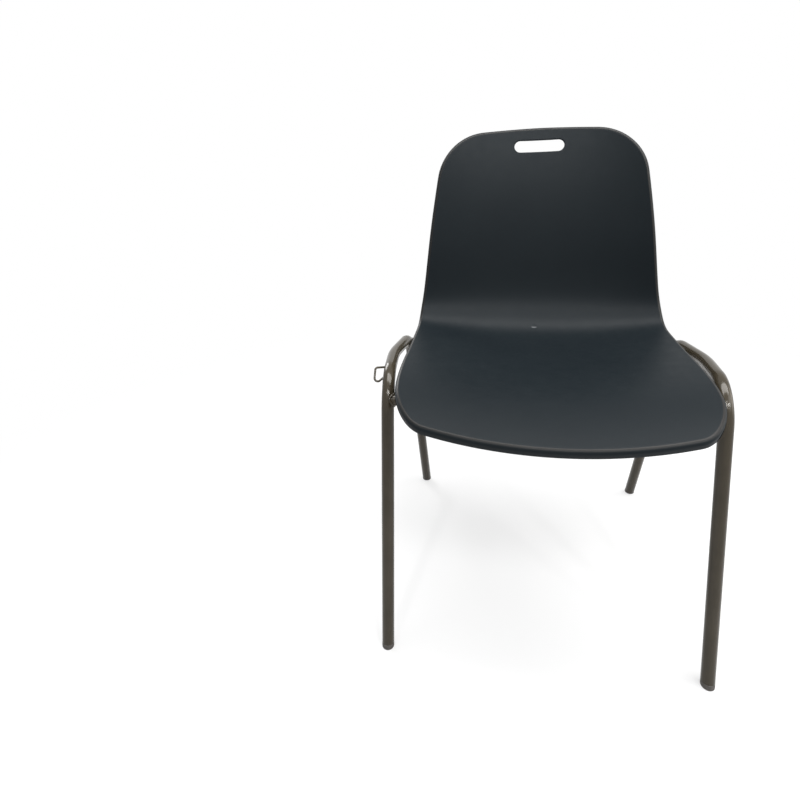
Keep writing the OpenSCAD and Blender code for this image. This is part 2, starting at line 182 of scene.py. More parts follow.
# Shell finish, and where its gloss fades out as its skin turns edge-on to the view
RIM_HIGHLIGHT_MARK = "rim"
SHELL_DARK = (0.0046, 0.0070, 0.0088)
SHELL_LIGHT = (0.0056, 0.0082, 0.0100)
SHELL_ROUGHNESS = (0.43, 0.49)
SHELL_GLOSS = 0.1
# A lighter colour on the top of the rolled rim, where light catches it, is a painted highlight
RIM_HIGHLIGHT_COLOUR = (0.012, 0.011, 0.010)
RIM_ROUGHNESS = 0.38
RIM_GLOSS = 0.06
# A pale colour on the gate dimple's front slope, where light catches it, is a painted highlight
GATE_HIGHLIGHT_COLOUR = (0.11, 0.115, 0.12)
EDGE_ON_FROM = 0.72
EDGE_ON_TO = 0.84

# Paint, foot and metal finishes
PAINT_DARK = (0.027, 0.022, 0.014)
PAINT_LIGHT = (0.033, 0.027, 0.018)
PAINT_ROUGHNESS = (0.13, 0.18)
PAINT_GLOSS = 0.3
PAINT_TINT = (1, 0.97, 0.93, 1)
FOOT_DARK = (0.036, 0.031, 0.027)
FOOT_LIGHT = (0.062, 0.055, 0.049)
FOOT_ROUGHNESS = (0.5, 0.68)
FOOT_SCUFFS_FROM = 0.35
ZINC_DARK = (0.42, 0.43, 0.45)
ZINC_LIGHT = (0.58, 0.59, 0.61)
ZINC_ROUGHNESS = (0.28, 0.4)
BRASS_DARK = (0.46, 0.33, 0.12)
BRASS_LIGHT = (0.6, 0.45, 0.2)
BRASS_ROUGHNESS = (0.24, 0.36)

# Camera: where the photograph was taken from, and its focal length and centre in pixels
CAMERA_AT = (-79.13, -851.57, 785.23)
CAMERA_TILT = 71.288
CAMERA_ROLL = 2.505
CAMERA_TURN = 9.992
IMAGE_PX = 800
FOCAL_PX = 520.18
CENTRE_Y_PX = 328
SENSOR = 36
CLIP_START = 0.05
CLIP_END = 50

# Floor: its half width and where it starts and ends fading to white, in metres, and its finish
FLOOR_HALF_W = 30
FLOOR_NEAR = 0.5
FLOOR_FAR = 1.6
FLOOR_GLOW = 0.6
FLOOR_COLOUR = (0.8, 0.8, 0.8, 1)
FLOOR_ROUGHNESS = 0.8

# Light that the background sheds, and the white that is seen in its place
WHITE = (1, 1, 1, 1)
WORLD_COLOUR = (0.95, 0.97, 1, 1)
WORLD_STRENGTH = 0.2

# Lights, in metres: the middle of the chair, and a row of narrow lamps before it
CHAIR_MIDDLE = (0, 0, 0.5)
LAMP_COUNT = 5
LAMP_FIRST_X = -0.5
LAMP_STEP = 0.6
LAMP_Y = -1.6
LAMP_Z = 2.2


def unit(v):
    """The vector, or each vector of an array, at length one."""
    v = np.asarray(v, float)
    return v / np.linalg.norm(v, axis=-1, keepdims=True)


def add_object(name, data):
    """A new object in the scene."""
    made = bpy.data.objects.new(name, data)
    bpy.context.scene.collection.objects.link(made)
    return made


class Piece:
    """Points and faces of one piece, gathered in millimetres."""

    def __init__(self):
        self.points = []
        self.faces = []
        self.rim_highlight_points = []

    def add(self, points):
        """Adds points and returns their numbers."""
        start = len(self.points)
        self.points.extend(np.asarray(points, float).reshape(-1, 3))
        return list(range(start, len(self.points)))

    def bridge(self, a, b):
        """Joins two closed rings with a band of faces."""
        for k in range(len(a)):
            n = (k + 1) % len(a)
            self.faces.append((a[k], a[n], b[n], b[k]))

    def loft(self, rings):
        """A skin over a row of closed rings, with a face across each end."""
        numbers = [self.add(ring) for ring in rings]
        for a, b in zip(numbers, numbers[1:]):
            self.bridge(a, b)
        self.faces.append(tuple(reversed(numbers[0])))
        self.faces.append(tuple(numbers[-1]))

    def make(self, name, material, node):
        """The Blender object, which stands for the given CAD node."""
        mesh = bpy.data.meshes.new(name)
        mesh.from_pydata([tuple(p * MM) for p in self.points], [], self.faces)
        work = bmesh.new()
        work.from_mesh(mesh)
        bmesh.ops.recalc_face_normals(work, faces=work.faces)
        work.to_mesh(mesh)
        work.free()
        if self.rim_highlight_points:
            self.mark_rim_highlight(mesh)
        mesh.shade_smooth()
        mesh.set_sharp_from_angle(angle=math.radians(SHARP_ANGLE))
        mesh.materials.append(material)
        made = add_object(name, mesh)
        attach(made, "root")
        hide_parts(node)

    def mark_rim_highlight(self, mesh):
        """Marks each point with its share of the rim's painted highlight."""
        shares = np.zeros(len(self.points), np.float32)
        for number, share in self.rim_highlight_points:
            shares[number] = share
        mesh.attributes.new(RIM_HIGHLIGHT_MARK, "FLOAT", "POINT").data.foreach_set("value", shares)


# Shape of the shell

def smooth(x, values):
    """Value at x of the smooth curve through a table that is set at the stations."""
    xs, ys = np.array(STATION_SHARES, float), np.array(values, float)
    last = len(xs) - 1
    before = np.maximum(np.arange(last + 1) - 1, 0)
    after = np.minimum(np.arange(last + 1) + 1, last)
    rates = (ys[after] - ys[before]) / (xs[after] - xs[before])
    i = np.clip(np.searchsorted(xs, x, side="right") - 1, 0, last - 1)
    h = xs[i + 1] - xs[i]
    t = (x - xs[i]) / h
    return (
        (2 * t**3 - 3 * t**2 + 1) * ys[i]
        + (t**3 - 2 * t**2 + t) * h * rates[i]
        + (3 * t**2 - 2 * t**3) * ys[i + 1]
        + (t**3 - t**2) * h * rates[i + 1]
    )


def slope_of(share):
    return np.radians(smooth(share, STATION_SLOPES))


step_slopes = slope_of((np.arange(PROFILE_STEPS) + 0.5) / PROFILE_STEPS)
step_len = SHELL_LEN / PROFILE_STEPS
profile_y = np.concatenate([[0], np.cumsum(np.cos(step_slopes))]) * step_len
profile_z = np.concatenate([[0], np.cumsum(np.sin(step_slopes))]) * step_len + SEAT_FRONT_H


def profile_at(share):
    """The middle line of the shell, as y and z."""
    q = np.asarray(share, float) * PROFILE_STEPS
    steps = np.arange(PROFILE_STEPS + 1)
    return np.interp(q, steps, profile_y), np.interp(q, steps, profile_z)


def up_of(share):
    """Direction of the sitter's side, square to the middle line."""
    a = slope_of(share)
    return np.stack([np.zeros_like(a), -np.sin(a), np.cos(a)], axis=-1)


def inner_half_w(share):
    return smooth(share, WIDTH_SHARES) * SHELL_W / 2 - EDGE_ROLL_R


def surface(across, share):
    """Point of the sitter's side: across runs from -1 to 1."""
    y, z = profile_at(share)
    rise = smooth(share, DISH_SHARES) * DISH_DEPTH * np.abs(across) ** DISH_POWER
    base = np.stack([across * inner_half_w(share), y, z], axis=-1)
    return base + up_of(share) * rise[..., None]


def surface_mm(u, s, depth=0):
    """The same by distances across and along, with a depth under the sitter's side."""
    share = s / SHELL_LEN
    return surface(u / inner_half_w(share), share) - up_of(share) * np.asarray(depth)[..., None]


def corner_cut(across, length, width, half_w, power):
    t = np.clip((np.abs(across) * half_w - (half_w - width)) / width, 0, 1)
    return length * (1 - np.maximum(1 - t**power, 0) ** (1 / power))


def start_share(across):
    half_w = inner_half_w(np.array(FRONT_WIDTH_SHARE))
    corner = corner_cut(across, FRONT_CORNER_LEN, FRONT_CORNER_W, half_w, FRONT_CORNER_POWER)
    return (EDGE_ROLL_R + FRONT_BOW * across**2 + corner) / SHELL_LEN


def end_share(across):
    half_w = inner_half_w(np.array(TOP_WIDTH_SHARE))
    corner = corner_cut(across, TOP_CORNER_LEN, TOP_CORNER_W, half_w, TOP_CORNER_POWER)
    return 1 - (EDGE_ROLL_R + TOP_CROWN * across**2 + corner) / SHELL_LEN


def share_over(x, y):
    """Place along the shell that lies straight over a point of the floor plan."""
    share = np.asarray(y, float) / SHELL_LEN
    for _ in range(SOLVE_STEPS):
        across = np.minimum(np.abs(x) / inner_half_w(share), 1)
        miss = y - surface(across, share)[..., 1]
        share = share + miss / np.cos(slope_of(share)) / SHELL_LEN
    return share


def underside_z(x, y):
    share = share_over(x, y)
    top = surface(np.abs(x) / inner_half_w(share), share)[..., 2]
    return top - SHELL_T / np.cos(slope_of(share))


# Lines of the frame, on the right-hand side

def bend_of(a, b, c, r):
    """A rounded corner: its centre, its first direction, its axis and its sweep."""
    u, w = unit(a - b), unit(c - b)
    corner = math.acos(float(u @ w))
    centre = b + unit(u + w) * r / math.sin(corner / 2)
    start = b + u * r / math.tan(corner / 2)
    return centre, unit(start - centre), unit(np.cross(w, u)), math.pi - corner


def bend_point(bend, r, share):
    centre, first, axis, sweep = bend
    a = sweep * share
    return centre + first * r * math.cos(a) + np.cross(axis, first) * r * math.sin(a)


def bent_path(corners, radii):
    """Points along a line whose inner corners are rounded."""
    points = [corners[0]]
    for k, r in enumerate(radii):
        bend = bend_of(corners[k], corners[k + 1], corners[k + 2], r)
        count = math.ceil(math.degrees(bend[3]) / BEND_STEP)
        arc = [bend_point(bend, r, i / count) for i in range(count + 1)]
        points += straight_steps(points[-1], arc[0]) + arc
    return np.array(points + straight_steps(points[-1], corners[-1]) + [corners[-1]])


def straight_steps(a, b):
    """Points between two ends, without the ends."""
    count = max(1, round(np.linalg.norm(b - a) / STRAIGHT_STEP))
    return [a + (b - a) * i / count for i in range(1, count)]


tube_r = TUBE_D / 2
cross_r = CROSS_TUBE_D / 2
front_knee_x = SHELL_W / 2 + SIDE_GAP + tube_r
rear_knee_x = front_knee_x + REAR_SET_OUT
front_seat = [float(v) for v in profile_at(FRONT_KNEE_SHARE)]
rear_seat = [float(v) for v in profile_at(REAR_KNEE_SHARE)]
front_knee = np.array([front_knee_x, front_seat[0], front_seat[1] + FRONT_RISE])
rear_knee = np.array([rear_knee_x, rear_seat[0], rear_seat[1] - REAR_DROP])
front_toe = np.array([
    front_knee_x + FRONT_SPLAY,
    front_knee[1] - front_knee[2] * math.tan(math.radians(FRONT_LEAN)),
    0,
])
rear_toe = np.array([
    rear_knee_x - REAR_TUCK,
    rear_knee[1] + rear_knee[2] * math.tan(math.radians(REAR_LEAN)),
    0,
])
front_leg_dir = unit(front_toe - front_knee)
rear_leg_dir = unit(rear_toe - rear_knee)
front_end = front_toe - front_leg_dir * FOOT_H / abs(front_leg_dir[2])
rear_end = rear_toe - rear_leg_dir * FOOT_H / abs(rear_leg_dir[2])
rail_middle = (front_knee + rear_knee) / 2 + [RAIL_BOW, 0, RAIL_LIFT]
side_corners = [front_end, front_knee, rail_middle, rear_knee, rear_end]
side_radii = [FRONT_BEND_R, RAIL_BEND_R, REAR_BEND_R]
front_bend = bend_of(front_end, front_knee, rail_middle, FRONT_BEND_R)
rear_bend = bend_of(rail_middle, rear_knee, rear_end, REAR_BEND_R)
front_cross = bend_point(front_bend, FRONT_BEND_R, FRONT_CROSS_SHARE)
rear_cross = bend_point(rear_bend, REAR_BEND_R, REAR_CROSS_SHARE)

# The shell's own y starts at its front edge; the frame's y starts in the middle of the chair
cross_low, cross_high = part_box("rear_cross_tube")
to_frame = np.array([0, (cross_low.y + cross_high.y) / 2 / MM - rear_cross[1], 0])


def share_at_floor(x, y):
    """Place along the shell over a point that is given in the frame."""
    return float(share_over(np.array(x), np.array(y - to_frame[1])))


gate_share = share_at_floor(GATE_X, GATE_Y)
gate_highlight_share = share_at_floor(GATE_X, GATE_Y - GATE_HIGHLIGHT_AHEAD)
gate_highlight_point = surface_mm(np.array(GATE_X), np.array(gate_highlight_share * SHELL_LEN)) + to_frame


def on_side(points, side):
    """Points of the right-hand side, put in the frame on the side that is asked for."""
    return np.asarray(points, float) * [side, 1, 1] + to_frame


def ring_at(centre, along, r, sides, start=(0, 0, 1)):
    """Circle of points round a centre, square to a direction."""
    along = unit(along)
    x = unit(np.asarray(start, float) - along * (np.asarray(start, float) @ along))
    y = np.cross(along, x)
    a = np.linspace(0, 2 * math.pi, sides, endpoint=False)
    return centre + r * (np.outer(np.cos(a), x) + np.outer(np.sin(a), y))


def swept_rings(points, r, sides, closed=False):
    """Rings along a line, each turned as little as possible from the last one."""
    points = np.asarray(points, float)
    if closed:
        steps = unit(np.roll(points, -1, axis=0) - points)
        tangents = unit(steps + np.roll(steps, 1, axis=0))
    else:
        steps = unit(np.diff(points, axis=0))
        tangents = unit(np.concatenate([steps[:1], steps[1:] + steps[:-1], steps[-1:]]))
    radii = np.broadcast_to(r, len(points))
    start = np.cross(tangents[0], [1, 0, 0])
    if np.linalg.norm(start) < NEARLY_PARALLEL:
        start = np.cross(tangents[0], [0, 0, 1])
    rings = []
    for p, t, ring_r in zip(points, tangents, radii):
        rings.append(ring_at(p, t, ring_r, sides, start))
        start = unit(rings[-1][0] - p)
    return rings


# Materials

class Graph:
    """The shader nodes of one material or world."""

    def __init__(self, tree):
        self.nodes = tree.nodes
        self.links = tree.links

    def node(self, kind, inputs=None, **settings):
        """A new node, with its settings and inputs."""
        made = self.nodes.new(kind)
        for name, value in settings.items():
            setattr(made, name, value)
        self.feed(made, inputs or {})
        return made

    def feed(self, node, inputs):
        """Sets a node's inputs, or links those that are another node's outputs."""
        for key, value in inputs.items():
            socket = node.inputs[key]
            if isinstance(value, bpy.types.NodeSocket):
                self.links.new(value, socket)
            else:
                socket.default_value = value

    def shade(self, inputs):
        """Sets or links the inputs of the material's own shader."""
        self.feed(self.nodes["Principled BSDF"], inputs)

    def place(self):
        """The piece's own coordinates, in metres."""
        return self.node("ShaderNodeTexCoord").outputs["Object"]

    def noise(self, scale, detail=2):
        """Noise over the piece's own coordinates; the scale is in waves per metre."""
        inputs = {"Vector": self.place(), "Scale": scale, "Detail": detail}
        return self.node("ShaderNodeTexNoise", inputs).outputs["Fac"]

    def ramp(self, value, dark, light, low=NOISE_LOW):
        """Two colours, blended over the value's middle range."""
        made = self.node("ShaderNodeValToRGB", {"Fac": value})
        first, last = made.color_ramp.elements
        first.position = low
        first.color = (*dark, 1)
        last.position = NOISE_HIGH
        last.color = (*light, 1)
        return made.outputs["Color"]

    def spread(self, value, first, last, low=NOISE_LOW, high=NOISE_HIGH):
        """Two numbers, blended over the value's range from low to high."""
        made = self.node("ShaderNodeMapRange", {
            "Value": value,
            "From Min": low,
            "From Max": high,
            "To Min": first,
            "To Max": last,
        })
        return made.outputs["Result"]

    def bump(self, value, strength, depth):
        """Normal of a surface that the value raises by at most the depth, in metres."""
        inputs = {"Height": value, "Strength": strength, "Distance": depth}
        return self.node("ShaderNodeBump", inputs).outputs["Normal"]

    def maths(self, operation, a, b):
        """Sum, product or larger one of two numbers, held between 0 and 1."""
        made = self.node("ShaderNodeMath", {0: a, 1: b}, operation=operation, use_clamp=True)
        return made.outputs["Value"]

    def vector_maths(self, operation, a, b):
        """Difference or product of two vectors."""
        made = self.node("ShaderNodeVectorMath", {0: a, 1: b}, operation=operation)
        return made.outputs["Vector"]

    def length(self, vector):
        return self.node("ShaderNodeVectorMath", {0: vector}, operation="LENGTH").outputs["Value"]

    def mix(self, share, a, b):
        """Blend of a colour or number with a plain one, by a share."""
        coloured = isinstance(b, tuple)
        kind = "RGBA" if coloured else "FLOAT"
        made = self.node("ShaderNodeMix", {"Factor": share}, data_type=kind)
        first = next(k for k in made.inputs if k.enabled and k.name == "A")
        second = next(k for k in made.inputs if k.enabled and k.name == "B")
        self.links.new(a, first)
        second.default_value = (*b, 1) if coloured else b
        return next(k for k in made.outputs if k.enabled)

    def seen_rays(self):
        """One where the camera, a reflection or a view through glass looks, and else zero."""
        path = self.node("ShaderNodeLightPath").outputs
        looks = self.maths("MAXIMUM", path["Is Camera Ray"], path["Is Glossy Ray"])
        return self.maths("MAXIMUM", looks, path["Is Transmission Ray"])

    def show(self, output, share, a, b):
        """Sends a blend of two shaders to the output."""
        blend = self.node("ShaderNodeMixShader", {"Fac": share, 1: a, 2: b})
        self.feed(self.nodes[output], {"Surface": blend.outputs["Shader"]})


def new_material(name):
    made = bpy.data.materials.new(name)
    made.use_nodes = True
    return made, Graph(made.node_tree)


def gate_highlight(graph):
    """One on the painted highlight on the front slope of the gate's dimple, and else zero."""
    off = graph.vector_maths("SUBTRACT", graph.place(), gate_highlight_point * MM)
    squeezed = graph.vector_maths("MULTIPLY", off, (GATE_HIGHLIGHT_LEN / GATE_HIGHLIGHT_W, 1, 1))
    away = graph.length(squeezed)
    return graph.spread(away, 0, 1, GATE_HIGHLIGHT_LEN / 2 * MM, GATE_HIGHLIGHT_LEN / 4 * MM)


def plain_gloss(graph):
    """Gloss of the shell's skins, which fades out where they are seen nearly edge-on."""
    facing = graph.node("ShaderNodeLayerWeight").outputs["Facing"]
    return graph.spread(facing, SHELL_GLOSS, 0, EDGE_ON_FROM, EDGE_ON_TO)


def shell_plastic():
    """Near-black moulded plastic with a fine, even grain, and painted highlights on the rolled rim
    and the gate mark.
    """
    made, graph = new_material("shell_plastic")
    # The rim mark paints a lighter colour round the top half of the rolled edge: a painted
    # highlight
    rim = graph.node("ShaderNodeAttribute", attribute_name=RIM_HIGHLIGHT_MARK).outputs["Fac"]
    colour = graph.ramp(graph.noise(scale=9, detail=3), SHELL_DARK, SHELL_LIGHT)
    colour = graph.mix(rim, colour, RIM_HIGHLIGHT_COLOUR)
    rough = graph.spread(graph.noise(scale=60), *SHELL_ROUGHNESS)
    rim_gloss = graph.maths("MULTIPLY", rim, RIM_GLOSS)
    grain = graph.noise(scale=1400, detail=3)
    graph.shade({
        # The gate's dimple gets a pale painted highlight on its front slope
        "Base Color": graph.mix(gate_highlight(graph), colour, GATE_HIGHLIGHT_COLOUR),
        "Roughness": graph.mix(rim, rough, RIM_ROUGHNESS),
        "Specular IOR Level": graph.maths("ADD", rim_gloss, plain_gloss(graph)),
        "Normal": graph.bump(grain, strength=0.12, depth=0.0002),
    })
    return made


def frame_paint():
    """Glossy warm grey powder coating with a faint orange peel."""
    made, graph = new_material("frame_paint")
    peel = graph.noise(scale=260, detail=1)
    graph.shade({
        "Base Color": graph.ramp(graph.noise(scale=35), PAINT_DARK, PAINT_LIGHT),
        "Roughness": graph.spread(graph.noise(scale=90), *PAINT_ROUGHNESS),
        "Specular IOR Level": PAINT_GLOSS,
        "Specular Tint": PAINT_TINT,
        "Normal": graph.bump(peel, strength=0.06, depth=0.0002),
    })
    return made


def foot_plastic():
    """Dark brown-grey plastic, scuffed dull."""
    made, graph = new_material("foot_plastic")
    scuffs = graph.noise(scale=260, detail=4)
    graph.shade({
        "Base Color": graph.ramp(scuffs, FOOT_DARK, FOOT_LIGHT, FOOT_SCUFFS_FROM),
        "Roughness": graph.spread(scuffs, *FOOT_ROUGHNESS),
        "Normal": graph.bump(scuffs, strength=0.3, depth=0.0003),
    })
    return made


def bright_metal(name, dark, light, roughness):
    """Plated or turned metal with faint tool marks."""
    made, graph = new_material(name)
    marks = graph.noise(scale=420, detail=4)
    graph.shade({
        "Base Color": graph.ramp(marks, dark, light),
        "Metallic": 1,
        "Roughness": graph.spread(marks, *roughness),
        "Normal": graph.bump(marks, strength=0.1, depth=0.0001),
    })
    return made


plastic = shell_plastic()
paint = frame_paint()
foot_black = foot_plastic()
zinc = bright_metal("zinc_steel", ZINC_DARK, ZINC_LIGHT, ZINC_ROUGHNESS)
brass = bright_metal("insert_brass", BRASS_DARK, BRASS_LIGHT, BRASS_ROUGHNESS)


# Shell piece

def block_places(rows, columns):
    """Grid places round a block, in order."""
    (i0, i1), (j0, j1) = rows, columns
    return (
        [(i0, j) for j in range(j0, j1 + 1)]
        + [(i, j1) for i in range(i0 + 1, i1 + 1)]
        + [(i1, j) for j in range(j1 - 1, j0 - 1, -1)]
        + [(i, j0) for i in range(i1 - 1, i0, -1)]
    )


def square_shares(places, rows, columns):
    """The same places on a square that runs from -1 to 1 each way."""
    (i0, i1), (j0, j1) = rows, columns
    places = np.array(places, float)
    p = 2 * (places[:, 1] - j0) / (j1 - j0) - 1
    q = 2 * (places[:, 0] - i0) / (i1 - i0) - 1
    return p, q


def slot_outline(p, q, grow):
    """Outline of the hand-hold slot: two straight sides and two round ends."""
    r = SLOT_H / 2 + grow
    straight = (SLOT_W - SLOT_H) / 2
    on_end = np.abs(q) < 1
    turn = q * math.pi / 2
    u = np.where(on_end, np.sign(p) * (straight + r * np.cos(turn)), p * straight)
    v = np.where(on_end, r * np.sin(turn), q * r)
    return u, v


def circle_outline(p, q, r):
    size = np.hypot(p, q)
    return r * p / size, r * q / size


class ShellGrid:
    """The two skins of the shell as grids of points, less the blocks that details take."""

    def __init__(self, piece):
        self.piece = piece
        across = np.sin(math.pi / 2 * (np.arange(2 * HALF_STEPS + 1) / HALF_STEPS - 1))
        t = np.arange(ALONG_STEPS + 1) / ALONG_STEPS
        along = (t + (1 - np.cos(math.pi * t)) / 2) / 2
        self.across, along = np.meshgrid(across, along)
        self.share = start_share(self.across) * (1 - along) + end_share(self.across) * along
        self.upper = surface(self.across, self.share)
        self.ups = up_of(self.share)
        shape = self.share.shape
        self.upper_numbers = np.array(piece.add(self.upper)).reshape(shape)
        lower = self.upper - self.ups * SHELL_T
        self.lower_numbers = np.array(piece.add(lower)).reshape(shape)
        self.upper_open = np.zeros((ALONG_STEPS, 2 * HALF_STEPS), bool)
        self.lower_open = self.upper_open.copy()

    def nearest_row(self, s):
        return int(np.argmin(np.abs(self.share[:, HALF_STEPS] * SHELL_LEN - s)))

    def nearest_column(self, row, u):
        return int(np.argmin(np.abs(self.upper[row, :, 0] - u)))

    def block(self, u, s, half_u, half_s):
        """Rows and columns of the block of cells round a place."""
        middle = self.nearest_row(s)
        rows = self.nearest_row(s - half_s), self.nearest_row(s + half_s)
        columns = self.nearest_column(middle, u - half_u), self.nearest_column(middle, u + half_u)
        return rows, columns

    def places_mm(self, places):
        i, j = np.array(places).T
        share = self.share[i, j]
        return self.across[i, j] * inner_half_w(share), share * SHELL_LEN

    def patch(self, places, numbers, centre, outline, depth):
        """Bands from the edge of a block in to an outline, and the numbers of the last ring."""
        u, s = self.places_mm(places)
        edge = [numbers[i, j] for i, j in places]
        for k in range(1, PATCH_STEPS + 1):
            t = k / PATCH_STEPS
            ring_u = u * (1 - t) + (centre[0] + outline[0]) * t
            ring_s = s * (1 - t) + (centre[1] + outline[1]) * t
            ring = self.piece.add(surface_mm(ring_u, ring_s, np.full(len(u), depth)))
            self.piece.bridge(edge, ring)
            edge = ring
        return edge

    def slot(self):
        """Opens the hand-hold slot, with a rounded lip on both sides."""
        centre = (0, SHELL_LEN - SLOT_DROP)
        half_w, half_h = SLOT_W / 2 + SLOT_MARGIN_W, SLOT_H / 2 + SLOT_MARGIN_H
        rows, columns = self.block(*centre, half_w, half_h)
        places = block_places(rows, columns)
        p, q = square_shares(places, rows, columns)
        lip = slot_outline(p, q, SLOT_LIP_R)
        last = self.patch(places, self.upper_numbers, centre, lip, 0)
        turns = np.linspace(0, math.pi / 2, ROUND_STEPS + 1)
        profile = [(1 - math.sin(b), 1 - math.cos(b)) for b in turns]
        steps = [(g * SLOT_LIP_R, d * SLOT_LIP_R) for g, d in profile[1:]]
        steps += [(g * SLOT_LIP_R, SHELL_T - d * SLOT_LIP_R) for g, d in reversed(profile[1:])]
        for grow, depth in steps:
            u, v = slot_outline(p, q, grow)
            ring = self.piece.add(surface_mm(u, centre[1] + v, np.full(len(u), depth)))
            self.piece.bridge(last, ring)
            last = ring
        under = self.patch(places, self.lower_numbers, centre, lip, SHELL_T)
        self.piece.bridge(last, under)
        self.open(rows, columns, self.upper_open, self.lower_open)

    def gate(self):
        """The small round mark that the mould's gate leaves in the bend of the seat."""
        centre = (GATE_X, gate_share * SHELL_LEN)
        rows, columns = self.block(*centre, GATE_BLOCK_R, GATE_BLOCK_R)
        places = block_places(rows, columns)
        p, q = square_shares(places, rows, columns)
        last = self.patch(places, self.upper_numbers, centre, circle_outline(p, q, GATE_R), 0)
        for t in np.linspace(0, 1, ROLL_STEPS + 1)[1:]:
            u, v = circle_outline(p, q, GATE_R * (1 - GATE_SLOPE_SHARE * t))
            depths = np.full(len(u), GATE_DEPTH * (3 * t**2 - 2 * t**3))
            ring = self.piece.add(surface_mm(centre[0] + u, centre[1] + v, depths))
            self.piece.bridge(last, ring)
            last = ring
        self.piece.faces.append(tuple(last))
        self.open(rows, columns, self.upper_open)

    @staticmethod
    def open(rows, columns, *grids):
        for grid in grids:
            grid[rows[0]:rows[1], columns[0]:columns[1]] = True

    def fill(self):
        """Faces of both skins, outside the blocks."""
        for numbers, opened in (
            (self.upper_numbers, self.upper_open),
            (self.lower_numbers, self.lower_open),
        ):
            for i, j in np.argwhere(~opened):
                self.piece.faces.append((
                    numbers[i, j], numbers[i, j + 1], numbers[i + 1, j + 1], numbers[i + 1, j],
                ))

    def rim(self):
        """The rolled edge and the turned-down flange, from the upper skin round to the lower."""
        places = block_places((0, ALONG_STEPS), (0, 2 * HALF_STEPS))
        i, j = np.array(places).T
        points, ups = self.upper[i, j], self.ups[i, j]
        along = unit(np.roll(points, -1, axis=0) - np.roll(points, 1, axis=0))
        outs = unit(np.cross(along, ups))
        depths = smooth(self.share[i, j], FLANGE_SHARES) * FLANGE_DEPTH
        turns = np.linspace(0, math.pi / 2, ROLL_STEPS + 1)[1:]
        small = np.linspace(0, math.pi / 2, ROUND_STEPS + 1)
        inner = EDGE_ROLL_R - FLANGE_T
        levels = [(EDGE_ROLL_R * math.sin(a), EDGE_ROLL_R * (1 - math.cos(a))) for a in turns]
        levels += [
            (EDGE_ROLL_R - FLANGE_ROUND * (1 - math.cos(b)),
             depths - FLANGE_ROUND * (1 - math.sin(b)))
            for b in small
        ]
        levels += [
            (inner + FLANGE_ROUND * (1 - math.sin(b)), depths - FLANGE_ROUND * (1 - math.cos(b)))
            for b in small
        ]
        levels += [
            (inner - FLANGE_FILLET * (1 - math.cos(b)),
             SHELL_T + FLANGE_FILLET * (1 - math.sin(b)))
            for b in small[:-1]
        ]
        last = [self.upper_numbers[a, b] for a, b in places]
        for k, (out, down) in enumerate(levels):
            down = np.broadcast_to(down, len(points))
            ring = self.piece.add(points + outs * out - ups * down[:, None])
            self.piece.bridge(last, ring)
            last = ring
            # The painted highlight takes what lies under zero as zero, so it fades out half way
            # round the roll
            share = max(-1, 1 - 2 * k / ROLL_STEPS)
            self.piece.rim_highlight_points += [(number, share) for number in ring]
        self.piece.bridge(last, [self.lower_numbers[a, b] for a, b in places])


def screw_places():
    """Places of the four screws, as x, y and the height of the plate's underside."""
    inset = tube_r + WELD_GAP + PLATE_W - SCREW_INSET
    for side in (-1, 1):
        for at, toward in ((front_cross, 1), (rear_cross, -1)):
            yield side * (at[0] - inset), at[1] + toward * SCREW_OFFSET, at[2] + cross_r


def add_boss(piece, place):
    """Round boss under the seat, bored for its insert and filleted into the shell."""
    x, y, plate_z = place
    foot_z = plate_z + PLATE_T
    turns = np.linspace(0, 2 * math.pi, TUBE_SIDES, endpoint=False)
    ring_x, ring_y = np.cos(turns), np.sin(turns)

    def level(r, z):
        return np.stack([x + r * ring_x, y + r * ring_y, np.broadcast_to(z, len(turns))], axis=-1)

    r = BOSS_D / 2
    edge = FLANGE_ROUND / 2
    rings = [
        level(INSERT_D / 2, foot_z + INSERT_LEN),
        level(INSERT_D / 2, foot_z),
        level(r - edge, foot_z),
        level(r, foot_z + edge),
    ]
    for b in np.linspace(0, math.pi / 2, ROUND_STEPS + 1):
        out = r + BOSS_FILLET * (1 - math.cos(b))
        under = underside_z(x + out * ring_x, y + out * ring_y) + BOSS_SINK
        rings.append(level(out, under - BOSS_FILLET * (1 - math.sin(b))))
    piece.loft(rings)


def make_shell():
    piece = Piece()
    grid = ShellGrid(piece)
    grid.slot()
    grid.gate()
    grid.fill()
    grid.rim()
    for place in screw_places():
        add_boss(piece, place)
    piece.points = [p + to_frame for p in piece.points]
    piece.make("shell", plastic, "seat_shell")


# Frame pieces

def add_bead(piece, points, r=WELD_R):
    """Closed weld bead with faint ripples."""
    turns = np.arange(len(points)) / len(points)
    radii = r * (1 + WELD_RIPPLE_SHARE * np.sin(2 * math.pi * WELD_RIPPLES * turns))
    rings = swept_rings(points, radii, BEAD_SIDES, closed=True)
    numbers = [piece.add(ring) for ring in rings]
    for a, b in zip(numbers, numbers[1:] + numbers[:1]):
        piece.bridge(a, b)


def side_tube_rings():
    """Rings of a side tube: round its wall at one end, along it, and round the other."""
    path = bent_path(side_corners, side_radii)
    rings = swept_rings(path, tube_r, TUBE_SIDES)

    def end_rings(ring, centre, outward):
        spokes = unit(ring - centre)
        bore = tube_r - TUBE_WALL
        levels = [(tube_r, -TUBE_EDGE), (tube_r - TUBE_EDGE, 0), (bore, 0), (bore, -BORE_DEPTH)]
        return [centre + spokes * r + outward * out for r, out in levels]

    first = end_rings(rings[0], path[0], front_leg_dir)
    last = end_rings(rings[-1], path[-1], rear_leg_dir)
    return first[::-1] + rings[1:-1] + last


def make_side_tube(side, name, node):
    piece = Piece()
    piece.loft([on_side(ring, side) for ring in side_tube_rings()])
    piece.make(name, paint, node)


